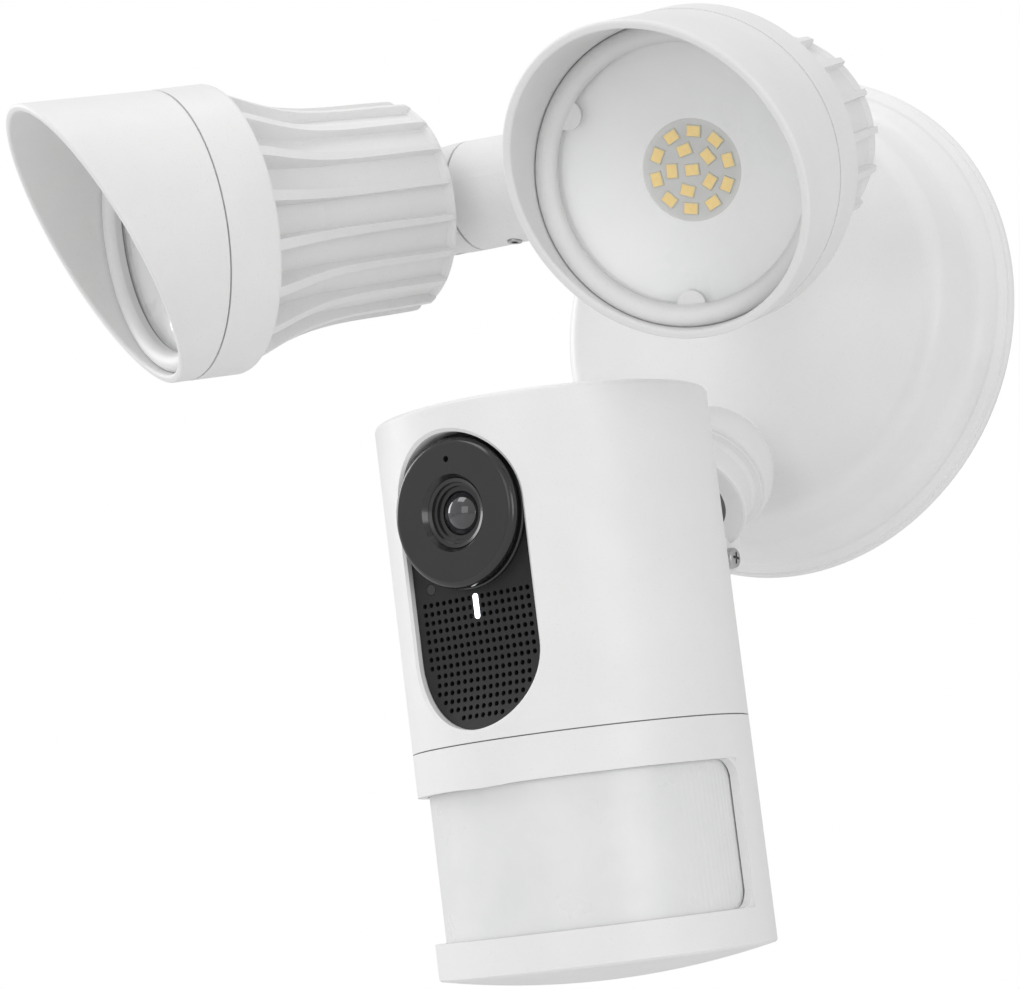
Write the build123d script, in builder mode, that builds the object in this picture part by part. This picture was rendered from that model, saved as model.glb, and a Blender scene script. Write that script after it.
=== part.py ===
from build123d import *
import os
from math import cos, radians, sin, sqrt, tan

os.makedirs("parts", exist_ok=True)

# Wall-mounted floodlight with a security camera. Millimetres, +Z up, +Y into the wall,
# origin at the centre of the mounting bracket's back face, which lies on the wall.

# ---------------------------------------------------------------- driving dimensions
PLATE_R = 70.0            # round wall plate
PLATE_DISH_R = 66.2       # inner edge of its flat rim
PLATEAU_R = 59.6          # raised middle disc
PLATEAU_H = 23.5          # its height above the wall
PLATE_WALL = 2.4
GASKET_T = 1.6

ARM_Y = -87.3             # cross bar of the lamp arm
ARM_Z = 25.0
BAR_R = 14.6
BAR_MID_R = 14.0
PIN_X = 51.0              # lamp pivot pins, left and right of centre
BAR_END_X = 44.0
BORE_R = 11.45            # bore for the knuckle spigots
BORE_DEPTH = 20.0
SEAM_GAP = 0.3
RUN_FIT = 0.05            # radial clearance of pins and spigots

LAMP_YAW = {"left": -28.54, "right": 11.73}     # degrees from straight ahead, + to the right
LAMP_DROP = {"left": 13.89, "right": 21.64}     # degrees below level
SEAM_S = 83.5             # distances along the lamp axis, from the pivot pin
REAR_S = 14.1
RING_S = 69.8
LED_S = 75.6
HEAD_R = 37.4             # lamp head ring
REAR_R = 26.3             # rear disc of the heat sink
CORE_R = 25.3
FINS = 18
HOOD_WALL = 2.2
HOOD_MID = 21.1           # hood length beyond the seam at its middle
HOOD_SLOPE = 16.6         # extra length on the long side
HOOD_ROLL = 25.0          # the long side leans to the right, seen from the front
LIP_R = 29.7

BOSS_C = (0.0, -44.7, -48.2)   # domed boss that carries the camera neck
BOSS_R = 17.8
WAIST_R = 7.5             # short waist between the boss and the plate
NECK_TILT = 45.0          # neck axis, degrees below level
COLLAR_S = 2.2            # distances along the neck axis, from the dome centre
FACE_S = 13.2
BALL_S = 8.7
BALL_R = 9.0
LINER_R = 11.2
SOCKET_R = 11.5
STEM_R = 4.5

BODY_R = 41.1             # round camera body
BODY_TOP = (-1.26, -120.75, -44.73)   # centre of its top edge circle
LEAN_FORWARD = 7.24
LEAN_SIDE = 3.46
BODY_TURN = 3.5           # the front looks this far to the left of straight ahead
SEAM_D = 80.6             # depths below the top edge
WINDOW_TOP_D = 91.0
WINDOW_BOTTOM_D = 126.4
BODY_D = 135.4
TOP_CROWN = 3.0
BOTTOM_CROWN = 4.3
SHELL_WALL = 2.4
PIR_R = 38.3
PANEL_F = 34.6            # distances in front of the body axis
PANEL_TIP_F = 38.4        # its rounded lower end comes forward to follow the shell
PILL_R = 18.2             # half width of the black front panel
PUCK_D = 26.2             # depth of the lens centre
PILL_TOP_D = 25.3         # depths of the centres of the panel's two round ends
PILL_LOW_D = 59.3         # depth of the panel's lower arc centre
PUCK_F = 39.6
PUCK_R = 18.0
GRILLE_PITCH_X = 1.95
GRILLE_PITCH_Z = 2.15
GRILLE_TOP_D = 46.3
GRILLE_ROWS = (17,) * 8 + (15,) * 3 + (13, 11, 7)
GRILLE_HOLE_R = 0.62
STATUS_SIZE = (1.45, 6.0)


def save(part, name):
    """Label a finished piece and write it to its own STEP file."""
    part.label = name
    export_step(part, f"parts/{name}.step")


def meridian(plane, turn=0.0):
    """Half-section plane of a plane's Z axis: local X is the radius, local Y the axis."""
    radial = plane.x_dir * cos(radians(turn)) + plane.y_dir * sin(radians(turn))
    return Plane(origin=plane.origin, x_dir=radial, z_dir=radial.cross(plane.z_dir))


def axis_of(plane):
    return Axis(plane.origin, plane.z_dir)


def turned(points, plane):
    """Solid of revolution about a plane's Z axis, from (radius, distance) points."""
    with BuildPart() as piece:
        with BuildSketch(meridian(plane)):
            with BuildLine():
                Polyline(*points, close=True)
            make_face()
        revolve(axis=axis_of(plane))
    return piece.part


def screw(plane, shank_r, length, head_r, head_t, recess=1.2):
    """Pan-head screw with a cross recess. The head stands on the plane, the shank goes down."""
    with BuildPart() as piece:
        with BuildSketch(plane):
            Circle(head_r)
        extrude(amount=head_t)
        fillet(piece.faces().sort_by(Axis(plane.origin, plane.z_dir))[-1].edges(), head_t * 0.45)
        with BuildSketch(plane):
            Circle(shank_r)
        extrude(amount=-length)
        with BuildSketch(plane.offset(head_t)):
            Rectangle(head_r * 1.15, head_r * 0.28)
            Rectangle(head_r * 0.28, head_r * 1.15)
        extrude(amount=-min(recess, head_t * 0.7), mode=Mode.SUBTRACT)
    return piece.part


# ---------------------------------------------------------------- frames of reference
WALL = Plane(origin=(0, 0, 0), x_dir=(1, 0, 0), z_dir=(0, -1, 0))       # Z out of the wall
BAR = Plane(origin=(0, ARM_Y, ARM_Z), x_dir=(0, -1, 0), z_dir=(1, 0, 0))  # Z along the bar


def lamp_axis(side):
    yaw, drop = radians(LAMP_YAW[side]), radians(LAMP_DROP[side])
    return Vector(sin(yaw) * cos(drop), -cos(yaw) * cos(drop), -sin(drop))


def lamp_plane(side):
    """Origin on the pivot pin, Z along the light beam, Y up and X to the viewer's right."""
    sign = -1 if side == "left" else 1
    forward = lamp_axis(side)
    up = Vector(0, 0, 1)
    up = (up - forward * up.dot(forward)).normalized()
    return Plane(origin=(sign * PIN_X, ARM_Y, ARM_Z), x_dir=up.cross(forward), z_dir=forward)


def knuckle_plane(side):
    """Origin on the pivot pin, X outward along the bar, Z along the pin."""
    sign = -1 if side == "left" else 1
    forward = lamp_axis(side)
    ahead = Vector(0, forward.Y, forward.Z).normalized()
    outward = Vector(sign, 0, 0)
    return Plane(origin=(sign * PIN_X, ARM_Y, ARM_Z), x_dir=outward, z_dir=outward.cross(ahead))


NECK_Z = Vector(0, -cos(radians(NECK_TILT)), -sin(radians(NECK_TILT)))
NECK = Plane(origin=BOSS_C, x_dir=(1, 0, 0), z_dir=NECK_Z)      # Z out of the socket
BALL = NECK.offset(BALL_S)

BODY_UP = Vector(-tan(radians(LEAN_SIDE)), -tan(radians(LEAN_FORWARD)), 1).normalized()
square_right = Vector(cos(radians(BODY_TURN)), -sin(radians(BODY_TURN)), 0)
BODY_RIGHT = (square_right - BODY_UP * BODY_UP.dot(square_right)).normalized()
BODY_FRONT = BODY_RIGHT.cross(BODY_UP)
BODY = Plane(origin=BODY_TOP, x_dir=BODY_RIGHT, z_dir=BODY_UP)      # local Z is minus the depth
FRONT = Plane(origin=BODY_TOP, x_dir=BODY_RIGHT, z_dir=BODY_FRONT)  # local Y is minus the depth

STEM_DIP = 30.0
to_axis = BODY.origin - BALL.origin
to_axis = (to_axis - BODY_UP * BODY_UP.dot(to_axis)).normalized()
STEM_Z = to_axis * cos(radians(STEM_DIP)) - BODY_UP * sin(radians(STEM_DIP))
STEM = Plane(origin=BALL.origin, x_dir=to_axis.cross(BODY_UP), z_dir=STEM_Z)
STEM_FLANGE = 43.0        # distance of the fixing flange from the ball centre

# ---------------------------------------------------------------- wall bracket and gasket
BRACKET_T = 2.0
SLOT_X = 44.45            # screw slots at 88.9 mm, as on a round outlet box
SLOT_L = 12.0
SLOT_W = 4.6
STUD_X = 34.0
STUD_Z = 37.0
STUD_R = 3.2
WIRE_HOLE_Z = 25.0
WIRE_HOLE_R = 10.0
INNER_FACE = PLATEAU_H - PLATE_WALL
with BuildPart() as wall_bracket:
    with BuildSketch(WALL):
        RectangleRounded(112, 26, 6)
        with Locations((0, STUD_Z / 2)):
            RectangleRounded(2 * STUD_X + 12, STUD_Z + 12, 5)
        with Locations((SLOT_X, 0), (-SLOT_X, 0)):
            SlotOverall(SLOT_L, SLOT_W, mode=Mode.SUBTRACT)
        with Locations((0, WIRE_HOLE_Z)):
            Circle(WIRE_HOLE_R, mode=Mode.SUBTRACT)
    extrude(amount=BRACKET_T)
    with BuildSketch(WALL.offset(BRACKET_T)):
        with Locations((STUD_X, STUD_Z), (-STUD_X, STUD_Z)):
            Circle(STUD_R)
    extrude(amount=INNER_FACE - BRACKET_T)
    with BuildSketch(WALL):
        with Locations((STUD_X, STUD_Z), (-STUD_X, STUD_Z)):
            Circle(1.5)
    extrude(amount=INNER_FACE, mode=Mode.SUBTRACT)
save(wall_bracket.part, "wall_bracket")

with BuildPart() as wall_gasket:
    with BuildSketch(WALL):
        Circle(PLATE_R - 0.8)
        Circle(PLATE_R - 7.5, mode=Mode.SUBTRACT)
    extrude(amount=GASKET_T)
save(wall_gasket.part, "wall_gasket")

# ---------------------------------------------------------------- wall plate
EDGE_ROUND = 5.0
FOOT_H = 10.0
ARM_SCREW_RING = 9.6
with BuildPart() as wall_plate:
    with BuildSketch(meridian(WALL)):
        with BuildLine():
            crown = PLATEAU_R - EDGE_ROUND
            l1 = Line((0, PLATEAU_H), (crown, PLATEAU_H))
            a1 = TangentArc(l1 @ 1, (PLATEAU_R, PLATEAU_H - EDGE_ROUND), tangent=l1 % 1)
            l2 = Line(a1 @ 1, (PLATEAU_R + 1.6, FOOT_H))
            a2 = TangentArc(l2 @ 1, (PLATE_DISH_R, 5.0), tangent=l2 % 1)
            Polyline(
                a2 @ 1,
                (PLATE_DISH_R + 0.8, 5.0),
                (PLATE_R - 1.0, 4.0),
                (PLATE_R - 0.9, 3.2),
                (PLATE_R - 0.2, 3.0),
                (PLATE_R, 2.6),
                (PLATE_R, GASKET_T),
                (PLATEAU_R - 0.6, GASKET_T),
                (PLATEAU_R - PLATE_WALL, PLATEAU_H - EDGE_ROUND - 1.0),
                (crown - 1.0, INNER_FACE),
                (0, INNER_FACE),
                (0, PLATEAU_H),
            )
        make_face()
    revolve(axis=axis_of(WALL))
    with BuildSketch(WALL.offset(INNER_FACE)):
        with Locations((STUD_X, STUD_Z), (-STUD_X, STUD_Z)):
            Circle(1.9)
        with Locations((0, ARM_Z)):
            Circle(6.5)
            with PolarLocations(ARM_SCREW_RING, 3, start_angle=90):
                Circle(1.6)
        with Locations((0, BOSS_C[2])):
            Circle(4.5)
    extrude(amount=PLATE_WALL, mode=Mode.SUBTRACT)
save(wall_plate.part, "wall_plate")

with BuildPart() as plate_screws:
    for x in (-STUD_X, STUD_X):
        seat = Plane(origin=(x, -PLATEAU_H, STUD_Z), x_dir=(1, 0, 0), z_dir=(0, -1, 0))
        add(screw(seat, 1.45, 12.0, 3.4, 2.0))
save(plate_screws.part, "plate_screws")

# ---------------------------------------------------------------- lamp driver inside the plate
with BuildPart() as driver_board:
    with BuildSketch(WALL.offset(5.0)):
        with Locations((0, -33)):
            RectangleRounded(60, 26, 2)
    extrude(amount=1.6)
    with BuildSketch(WALL.offset(6.6)):
        with Locations((-14, -34)):
            RectangleRounded(17, 15, 1)
    extrude(amount=12.0)
    with BuildSketch(WALL.offset(6.6)):
        with Locations((4, -32)):
            Circle(5.0)
        with Locations((15, -38)):
            Circle(4.0)
    extrude(amount=10.5)
save(driver_board.part, "driver_board")

with BuildPart() as terminal_block:
    with BuildSketch(WALL.offset(5.0)):
        with Locations((0, 22)):
            RectangleRounded(30, 11, 1)
    extrude(amount=10.0)
    with BuildSketch(WALL.offset(15.0)):
        with GridLocations(9, 1, 3, 1):
            with Locations((0, 22)):
                Circle(2.6)
    extrude(amount=-6.0, mode=Mode.SUBTRACT)
save(terminal_block.part, "terminal_block")

# ---------------------------------------------------------------- lamp arm
POST_R = 13.2
with BuildPart() as lamp_arm:
    with BuildSketch(meridian(BAR)):
        with BuildLine():
            Polyline(
                (0, -BAR_END_X),
                (BAR_R - 0.5, -BAR_END_X),
                (BAR_R, -BAR_END_X + 0.5),
                (BAR_MID_R, -12),
                (BAR_MID_R, 12),
                (BAR_R, BAR_END_X - 0.5),
                (BAR_R - 0.5, BAR_END_X),
                (0, BAR_END_X),
                close=True,
            )
        make_face()
    revolve(axis=axis_of(BAR))
    post = Plane(origin=(0, -PLATEAU_H, ARM_Z), x_dir=(1, 0, 0), z_dir=(0, -1, 0))
    with BuildSketch(post):
        Circle(POST_R + 5.0)
    extrude(amount=3.5)
    with BuildSketch(post):
        Circle(POST_R)
    extrude(amount=-ARM_Y - PLATEAU_H)
    with BuildSketch(post):
        Circle(6.0)
    extrude(amount=-ARM_Y - PLATEAU_H, mode=Mode.SUBTRACT)
    with BuildSketch(post):
        with PolarLocations(ARM_SCREW_RING, 3, start_angle=90):
            Circle(1.5)
    extrude(amount=8, mode=Mode.SUBTRACT)
    for end, way in ((-BAR_END_X, 1), (BAR_END_X, -1)):
        with BuildSketch(BAR.offset(end)):
            Circle(BORE_R)
        extrude(amount=way * BORE_DEPTH, mode=Mode.SUBTRACT)
        with BuildSketch(BAR.offset(end)):
            Circle(5.0)
        extrude(amount=way * (BAR_END_X - 1), mode=Mode.SUBTRACT)
    SET_X = 32.0
    under = Plane(origin=(0, ARM_Y, ARM_Z), x_dir=(1, 0, 0), z_dir=(0, 0, -1))
    with BuildSketch(under):
        with Locations((SET_X, 0), (-SET_X, 0)):
            Circle(2.0)
    extrude(amount=BAR_R + 1, mode=Mode.SUBTRACT)
save(lamp_arm.part, "lamp_arm")

with BuildPart() as arm_set_screws:
    for x in (-SET_X, SET_X):
        with BuildSketch(under.offset(BORE_R + 0.05)):
            with Locations((x, 0)):
                Circle(1.9)
        extrude(amount=BAR_R - BORE_R + 0.1)
        with BuildSketch(under.offset(BAR_R + 0.15)):
            with Locations((x, 0)):
                RegularPolygon(1.0, 6)
        extrude(amount=-1.6, mode=Mode.SUBTRACT)
save(arm_set_screws.part, "arm_set_screws")

with BuildPart() as arm_screws:
    for turn in (90, 210, 330):
        x = ARM_SCREW_RING * cos(radians(turn))
        z = ARM_Z + ARM_SCREW_RING * sin(radians(turn))
        seat = Plane(origin=(x, -INNER_FACE, z), x_dir=(1, 0, 0), z_dir=(0, 1, 0))
        add(screw(seat, 1.45, 9.0, 2.8, 1.8))
save(arm_screws.part, "arm_screws")

# ---------------------------------------------------------------- lamp knuckles
EAR_R = 13.4
SLOT_HALF = 4.9
TONGUE_HALF = 4.6
TONGUE_R = 8.2
SLOT_BOTTOM = TONGUE_R + 0.4
PIN_R = 2.5
PIN_HEAD_R = 4.0
SPIGOT_L = 18.0


def knuckle(side):
    """Fork that turns in the end of the bar and holds the lamp's tongue between two ears."""
    k = knuckle_plane(side)
    shoulder = BAR_END_X - PIN_X + SEAM_GAP
    along = Plane(origin=k.origin, x_dir=k.y_dir, z_dir=k.x_dir)
    with BuildPart() as fork:
        with BuildSketch(along.offset(shoulder)):
            Circle(BAR_R)
        extrude(amount=EAR_R - shoulder)
        with BuildSketch(k):
            Circle(EAR_R)
            with Locations((shoulder / 2 - 1, 0)):
                Rectangle(-shoulder + 2, 2 * EAR_R)
        extrude(amount=BAR_R + 1, both=True, mode=Mode.INTERSECT)
        with BuildSketch(along.offset(shoulder - SPIGOT_L)):
            Circle(BORE_R - RUN_FIT)
        extrude(amount=SPIGOT_L)
        with BuildSketch(k):
            with Locations((-SLOT_BOTTOM + 15, 0)):
                Rectangle(30, 34)
        extrude(amount=SLOT_HALF, both=True, mode=Mode.SUBTRACT)
        with BuildSketch(k):
            Circle(PIN_R)
        extrude(amount=BAR_R + 1, both=True, mode=Mode.SUBTRACT)
        with BuildSketch(k.offset(BAR_R - 3.0)):
            Circle(PIN_HEAD_R + 0.2)
        extrude(amount=4.0, mode=Mode.SUBTRACT)
        with BuildSketch(along.offset(shoulder - SPIGOT_L)):
            Circle(3.0)
        extrude(amount=SPIGOT_L, mode=Mode.SUBTRACT)
    return fork.part


def pivot_pin(side):
    k = knuckle_plane(side)
    with BuildPart() as pin:
        with BuildSketch(k.offset(-BAR_R + 1.6)):
            Circle(PIN_R)
        extrude(amount=2 * BAR_R - 4.6)
        with BuildSketch(k.offset(BAR_R - 3.0)):
            Circle(PIN_HEAD_R)
        extrude(amount=2.2)
        with BuildSketch(k.offset(BAR_R - 0.8)):
            Rectangle(4.6, 1.0)
            Rectangle(1.0, 4.6)
        extrude(amount=-1.3, mode=Mode.SUBTRACT)
    return pin.part


# ---------------------------------------------------------------- lamp heads
def fin_blade(plane):
    """One cooling fin: S-shaped outer edge, thick at the ring and thin at the rear."""
    with BuildPart() as blade:
        with BuildSketch(meridian(plane)):
            with BuildLine():
                rear = REAR_S + 0.9
                e1 = Line((CORE_R - 4, rear), (REAR_R + 0.5, rear))
                e2 = Line(e1 @ 1, (REAR_R + 1.3, rear + 1.2))
                e3 = Spline(
                    e2 @ 1,
                    (REAR_R + 3.6, 52.0),
                    (REAR_R + 6.4, 61.0),
                    (HEAD_R - 1.3, RING_S + 1.0),
                    tangents=((0.06, 1), (0.25, 1)),
                )
                Polyline(e3 @ 1, (CORE_R - 4, RING_S + 1.0), (CORE_R - 4, rear))
            make_face()
        extrude(amount=1.6, both=True)
        top = Plane(origin=plane.origin, x_dir=-meridian(plane).z_dir, z_dir=plane.x_dir)
        with BuildSketch(top):
            with BuildLine():
                s0, s1 = 0.0, RING_S + 4
                Polyline((-0.55, s0), (0.55, s0), (1.45, s1), (-1.45, s1), close=True)
            make_face()
        extrude(amount=HEAD_R + 5, mode=Mode.INTERSECT)
    return blade.part


def heat_sink(side):
    plane = lamp_plane(side)
    k = knuckle_plane(side)
    blade = fin_blade(plane)
    core = [
        (0, REAR_S),
        (REAR_R - 0.6, REAR_S),
        (REAR_R, REAR_S + 0.6),
        (REAR_R, REAR_S + 1.7),
        (CORE_R, REAR_S + 2.6),
        (CORE_R + 1.2, 52.0),
        (CORE_R + 3.4, RING_S - 1.5),
        (HEAD_R - 1.0, RING_S),
        (HEAD_R - 0.2, RING_S + 0.2),
        (HEAD_R, RING_S + 0.8),
        (HEAD_R - 0.2, SEAM_S),
        (HEAD_R - 3.2, SEAM_S),
        (HEAD_R - 3.2, LED_S - 1.6),
        (3.0, LED_S - 1.6),
        (3.0, LED_S - 4.6),
        (CORE_R - 4.2, LED_S - 4.6),
        (CORE_R - 4.2, REAR_S + 5.0),
        (0, REAR_S + 5.0),
    ]
    with BuildPart() as sink:
        add(turned(core, plane))
        for i in range(FINS):
            add(blade.rotate(axis_of(plane), 360.0 / FINS * i))
        tongue = Plane(origin=k.origin, x_dir=plane.z_dir, z_dir=k.z_dir)
        with BuildSketch(tongue):
            Circle(TONGUE_R)
            with Locations(((REAR_S + 1) / 2, 0)):
                Rectangle(REAR_S + 1, 2 * TONGUE_R)
        extrude(amount=TONGUE_HALF, both=True)
        with BuildSketch(tongue):
            Circle(PIN_R + RUN_FIT)
        extrude(amount=TONGUE_HALF + 1, both=True, mode=Mode.SUBTRACT)
    return sink.part


def hood_cut(plane):
    """Slanted plane that trims the hood, long side up and a little to the right."""
    roll, slant = radians(HOOD_ROLL), HOOD_SLOPE / HEAD_R
    high = plane.x_dir * sin(roll) + plane.y_dir * cos(roll)
    origin = plane.origin + plane.z_dir * (SEAM_S + HOOD_MID)
    return Plane(origin=origin, z_dir=(plane.z_dir - high * slant).normalized())


def hood(side):
    plane = lamp_plane(side)
    cut = hood_cut(plane)
    outer = HEAD_R - 0.3
    inner = outer - HOOD_WALL
    seam = SEAM_S + SEAM_GAP
    with BuildPart() as shade:
        with BuildSketch(meridian(plane)):
            with BuildLine():
                p1 = Polyline(
                    (LIP_R + 0.3, seam),
                    (LIP_R + 2.9, seam),
                    (LIP_R + 2.9, SEAM_S - 3.5),
                    (HEAD_R - 3.4, SEAM_S - 3.5),
                    (HEAD_R - 3.4, seam),
                    (outer - 0.2, seam),
                    (outer, seam + 0.3),
                    (outer + 0.2, SEAM_S + 45),
                    (inner + 0.4, SEAM_S + 45),
                    (inner, SEAM_S + 2.2),
                )
                lip = ThreePointArc(p1 @ 1, (LIP_R + 2.6, SEAM_S + 4.4), (LIP_R, SEAM_S + 2.2))
                Line(lip @ 1, p1 @ 0)
            make_face()
        revolve(axis=axis_of(plane))
        split(bisect_by=cut, keep=Keep.BOTTOM)
        rim = shade.faces().filter_by(Plane(cut.origin, z_dir=cut.z_dir)).sort_by(Axis(cut.origin, cut.z_dir))
        fillet(rim[-1].edges(), 0.7)
        for i in range(3):
            turn = radians(27 + 120 * i)
            with BuildSketch(plane.offset(SEAM_S + 0.4)):
                with Locations(((LIP_R + 0.2) * cos(turn), (LIP_R + 0.2) * sin(turn))):
                    Circle(3.4)
            extrude(amount=1.6)
    return shade.part


def lens(side):
    plane = lamp_plane(side)
    return turned([(0, SEAM_S - 2.0), (LIP_R + 2.7, SEAM_S - 2.0), (LIP_R + 2.7, SEAM_S - 0.2),
                   (0, SEAM_S - 0.2)], plane)


def lens_seal(side):
    plane = lamp_plane(side)
    return turned([(LIP_R + 0.6, SEAM_S - 0.2), (LIP_R + 2.6, SEAM_S - 0.2),
                   (LIP_R + 2.6, SEAM_S + 0.3), (LIP_R + 0.6, SEAM_S + 0.3)], plane)


def reflector(side):
    plane = lamp_plane(side)
    return turned([(11.9, LED_S), (11.9, LED_S + 0.8), (LIP_R + 0.3, SEAM_S - 2.8),
                   (LIP_R + 2.7, SEAM_S - 2.8), (LIP_R + 2.7, SEAM_S - 4.0),
                   (LIP_R + 0.5, SEAM_S - 4.0), (14.0, LED_S)], plane)


def led_board(side):
    plane = lamp_plane(side)
    with BuildPart() as board:
        with BuildSketch(plane.offset(LED_S - 1.6)):
            Circle(HEAD_R - 3.6)
            with PolarLocations(27.0, 3):
                Circle(1.6, mode=Mode.SUBTRACT)
        extrude(amount=1.6)
    return board.part


def led_chips(side):
    """Ten chips in an outer ring, five in an inner ring and one in the middle."""
    plane = lamp_plane(side)
    with BuildPart() as chips:
        with BuildSketch(plane.offset(LED_S)):
            Rectangle(3.5, 2.8)
            for count, radius, first in ((10, 8.9, 80.0), (5, 4.9, 105.0)):
                with PolarLocations(radius, count, start_angle=first):
                    Rectangle(2.8, 3.5)
        extrude(amount=0.7)
    return chips.part


def board_screws(side):
    plane = lamp_plane(side)
    with BuildPart() as screws:
        for i in range(3):
            turn = radians(120 * i)
            at = plane.origin + plane.x_dir * (27 * cos(turn)) + plane.y_dir * (27 * sin(turn))
            seat = Plane(origin=at + plane.z_dir * LED_S, x_dir=plane.x_dir, z_dir=plane.z_dir)
            add(screw(seat, 1.4, 1.5, 2.4, 1.3))
    return screws.part


for side in ("left", "right"):
    save(knuckle(side), f"{side}_knuckle")
    save(pivot_pin(side), f"{side}_pivot_pin")
    save(heat_sink(side), f"{side}_heat_sink")
    save(hood(side), f"{side}_hood")
    save(lens(side), f"{side}_lens")
    save(lens_seal(side), f"{side}_lens_seal")
    save(reflector(side), f"{side}_reflector")
    save(led_board(side), f"{side}_led_board")
    save(led_chips(side), f"{side}_led_chips")
    save(board_screws(side), f"{side}_board_screws")

# ---------------------------------------------------------------- camera neck
with BuildPart() as neck_boss:
    with Locations(BOSS_C):
        Sphere(BOSS_R)
    with BuildSketch(Plane(origin=(0, -PLATEAU_H, BOSS_C[2]), x_dir=(1, 0, 0), z_dir=(0, -1, 0))):
        Circle(WAIST_R)
    extrude(amount=-BOSS_C[1] - PLATEAU_H)
    split(bisect_by=NECK.offset(COLLAR_S), keep=Keep.BOTTOM)
    split(bisect_by=WALL.offset(PLATEAU_H), keep=Keep.TOP)
    mouth = neck_boss.faces().sort_by(axis_of(NECK))[-1]
    fillet(mouth.edges(), 1.2)
    with BuildSketch(Plane(origin=(0, -PLATEAU_H, BOSS_C[2]), x_dir=(1, 0, 0), z_dir=(0, -1, 0))):
        Circle(4.0)
    extrude(amount=-BOSS_C[1] - PLATEAU_H, mode=Mode.SUBTRACT)
    with BuildSketch(NECK.offset(COLLAR_S)):
        Circle(4.0)
    extrude(amount=-COLLAR_S - 6, mode=Mode.SUBTRACT)
    with BuildPart(mode=Mode.PRIVATE) as ball_space:
        with Locations(BALL.origin):
            Sphere(SOCKET_R)
    add(ball_space.part, mode=Mode.SUBTRACT)
save(neck_boss.part, "neck_boss")

LUG_S = 15.9              # centre of the clamp screw along the neck axis, and off it
LUG_Y = 17.1
LUG_HALF = 6.5
across = Plane(origin=NECK.origin, x_dir=NECK.z_dir, z_dir=(1, 0, 0))
down = 1 if across.y_dir.Z < 0 else -1
with BuildPart() as neck_collar:
    with BuildSketch(meridian(NECK)):
        with BuildLine():
            c1 = Polyline(
                (6.0, COLLAR_S),
                (16.7, COLLAR_S),
                (16.7, COLLAR_S + 0.9),
                (15.3, COLLAR_S + 1.5),
                (15.1, COLLAR_S + 2.0),
                (14.6, COLLAR_S + 2.9),
                (14.9, COLLAR_S + 5.0),
                (16.1, FACE_S - 0.9),
                (15.9, FACE_S - 0.2),
                (15.3, FACE_S),
                (sqrt(SOCKET_R ** 2 - (FACE_S - BALL_S) ** 2), FACE_S),
            )
            seat = RadiusArc(c1 @ 1, (sqrt(SOCKET_R ** 2 - 25.0), BALL_S - 5.0), SOCKET_R)
            Polyline(seat @ 1, (6.0, BALL_S - 5.0), (6.0, COLLAR_S))
        make_face()
    revolve(axis=axis_of(NECK))
    with BuildSketch(across):
        with Locations((LUG_S, down * LUG_Y)):
            Circle(4.2)
        with Locations((COLLAR_S + 7.0, down * 13.2)):
            Rectangle(7.0, 3.0)
        make_hull()
    extrude(amount=LUG_HALF, both=True)
    with BuildPart(mode=Mode.PRIVATE) as socket_space:
        with Locations(BALL.origin):
            Sphere(SOCKET_R)
    add(socket_space.part, mode=Mode.SUBTRACT)
    with BuildSketch(across):
        with Locations((BALL_S + 4.0, down * 18.0)):
            Rectangle(28.0, 14.0)
    extrude(amount=0.7, both=True, mode=Mode.SUBTRACT)
    with BuildSketch(across):
        with Locations((LUG_S, down * LUG_Y)):
            Circle(1.6)
    extrude(amount=8, both=True, mode=Mode.SUBTRACT)
save(neck_collar.part, "neck_collar")

LUG_C = NECK.origin + NECK.z_dir * LUG_S + across.y_dir * (down * LUG_Y)
with BuildPart() as clamp_screw:
    add(screw(Plane(origin=LUG_C + Vector(LUG_HALF, 0, 0), x_dir=(0, 1, 0), z_dir=(1, 0, 0)), 1.5, 15.5, 2.7, 1.9))
save(clamp_screw.part, "clamp_screw")

with BuildPart() as clamp_nut:
    with BuildSketch(Plane(origin=LUG_C - Vector(LUG_HALF, 0, 0), x_dir=(0, 1, 0), z_dir=(-1, 0, 0))):
        RegularPolygon(3.0, 6)
        Circle(1.55, mode=Mode.SUBTRACT)
    extrude(amount=2.3)
save(clamp_nut.part, "clamp_nut")


def ball_shell(low, high):
    """Zone of a spherical shell round the ball, between two heights along the neck axis."""
    bore = BALL_R + 0.3
    with BuildPart() as zone:
        with BuildSketch(meridian(BALL)):
            with BuildLine():
                out_low, out_high = sqrt(LINER_R ** 2 - low ** 2), sqrt(LINER_R ** 2 - high ** 2)
                in_low, in_high = sqrt(bore ** 2 - low ** 2), sqrt(bore ** 2 - high ** 2)
                outside = RadiusArc((out_low, low), (out_high, high), -LINER_R)
                rim = Line(outside @ 1, (in_high, high))
                inside = RadiusArc(rim @ 1, (in_low, low), bore)
                Line(inside @ 1, outside @ 0)
            make_face()
        revolve(axis=axis_of(BALL))
    return zone.part


save(ball_shell(-1.2, 3.6), "socket_ring")
save(ball_shell(-8.4, -1.8), "socket_cup")

with BuildPart() as ball_stud:
    with Locations(STEM.origin):
        Sphere(BALL_R)
    with BuildSketch(STEM):
        Circle(STEM_R)
    extrude(amount=STEM_FLANGE + 0.1)
    with BuildSketch(STEM.offset(STEM_FLANGE + 0.1)):
        Circle(9.5)
        with PolarLocations(7.0, 3):
            Circle(1.3, mode=Mode.SUBTRACT)
    extrude(amount=2.5)
save(ball_stud.part, "ball_stud")

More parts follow.
